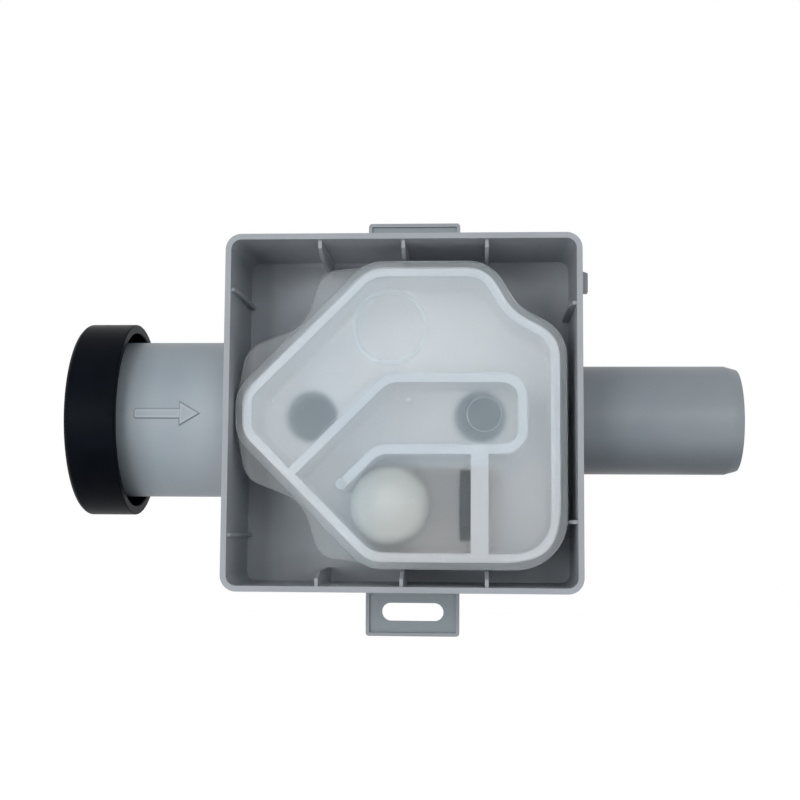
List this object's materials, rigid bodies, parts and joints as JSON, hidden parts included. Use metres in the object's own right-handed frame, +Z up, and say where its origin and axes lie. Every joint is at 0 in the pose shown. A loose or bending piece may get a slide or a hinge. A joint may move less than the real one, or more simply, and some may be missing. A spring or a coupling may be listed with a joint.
{
  "type": "condensate trap",
  "caption": "Flush wall box with a removable trap cartridge: rubber-sealed inlet on the left, plain chamfered outlet pipe on the right, float ball behind a translucent cover.",
  "frame": {"origin": "middle of the back cover's outer face, which lies against the wall", "axes": "+X along the flow, from the sealed inlet to the plain outlet; +Y into the wall; +Z up as pictured"},
  "size_m": [0.1931, 0.065, 0.1314],
  "materials": {
    "grey_abs": "moulded grey, fine satin grain",
    "pipe_grey": "moulded grey, satin",
    "black_collar": "black, soft sheen",
    "black_rubber": "black rubber",
    "milky_plastic": "translucent milky white, satin",
    "seat_rubber": "dark rubber",
    "ball_plastic": "off-white, smooth"
  },
  "bodies": {
    "housing": {"wall_box": "grey_abs", "back_cover": "grey_abs", "fixing_lug_top": "grey_abs", "fixing_lug_bottom": "grey_abs", "inlet_pipe": "pipe_grey", "outlet_pipe": "pipe_grey", "inlet_collar": "black_collar", "inlet_seal": "black_rubber"},
    "cartridge": {"cartridge_tray": "milky_plastic", "cartridge_cover": "milky_plastic", "valve_seat": "seat_rubber", "spigot_seal_inlet": "black_rubber", "spigot_seal_outlet": "black_rubber"},
    "float": {"float_ball": "ball_plastic"}
  },
  "joints": [
    {"name": "cartridge_pull", "type": "slide", "parent": "housing", "child": "cartridge", "axis": [0, -1, 0], "range_m": [0, 0.05]},
    {"name": "ball_float", "type": "slide", "parent": "cartridge", "child": "float", "axis": [1, 0, 0], "range_m": [0, 0.0114]}
  ]
}
